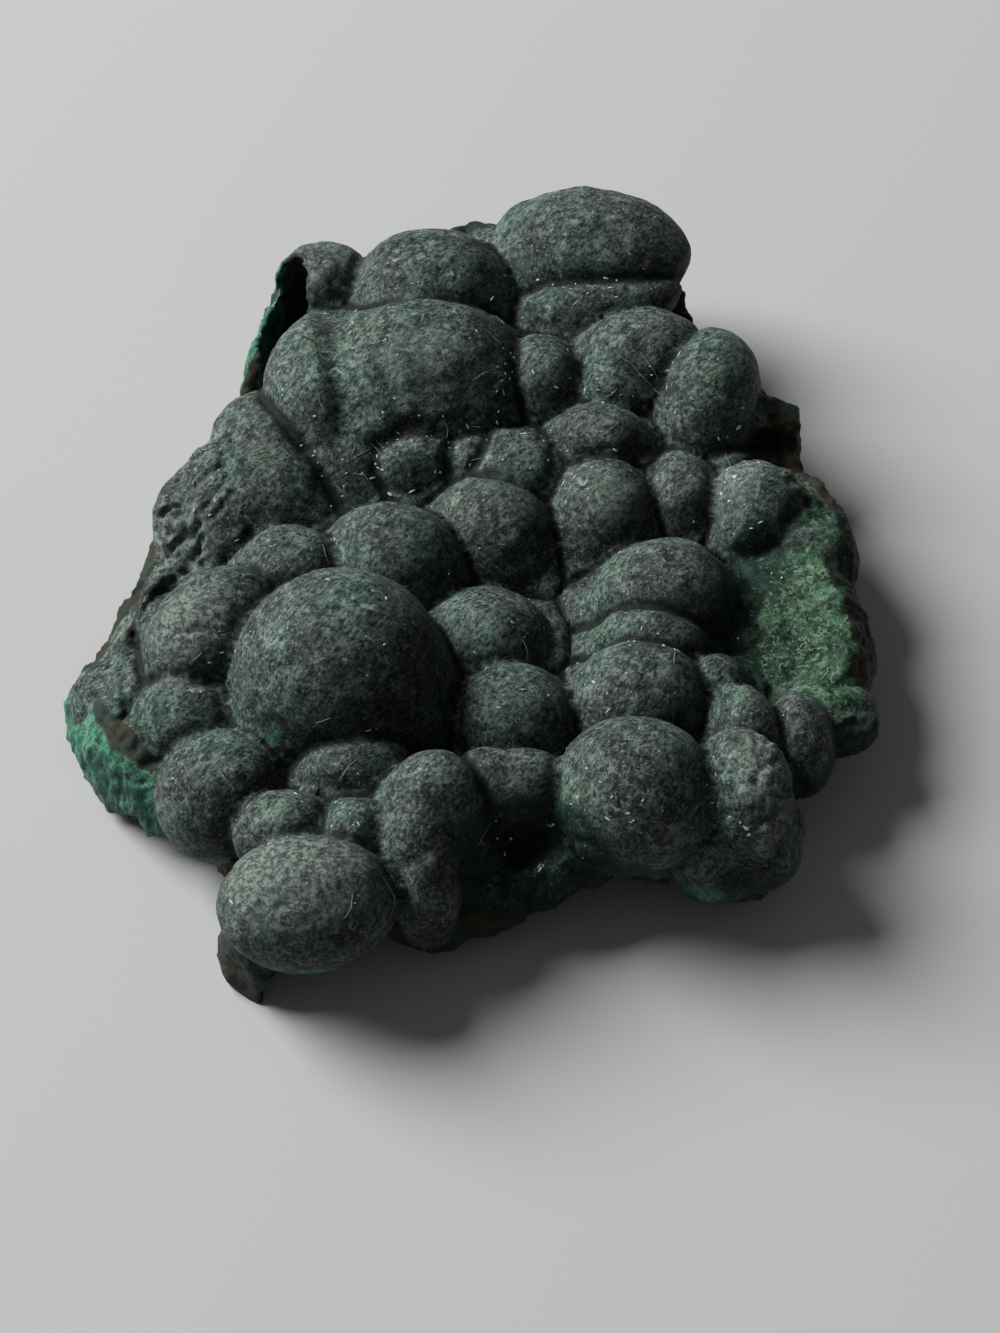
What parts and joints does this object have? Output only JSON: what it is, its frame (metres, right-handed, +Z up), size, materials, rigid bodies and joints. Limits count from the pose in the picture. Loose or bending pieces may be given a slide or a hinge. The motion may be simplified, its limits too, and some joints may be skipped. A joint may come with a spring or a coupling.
{
  "type": "malachite specimen",
  "caption": "Rough plate of botryoidal malachite crowded with rounded velvety lobes, broken bright green along its edges.",
  "frame": {"origin": "middle of the plan, on the plane the stone rests on", "axes": "+Z up from the table, -Y towards the broken front with the small leg, +X towards the green broken shoulder"},
  "size_m": [0.0753, 0.0924, 0.0209],
  "materials": {
    "stone": "dark grey-green velvety crust, fibrous bright green where broken"
  },
  "bodies": {
    "root": {"malachite": "stone"}
  },
  "joints": []
}
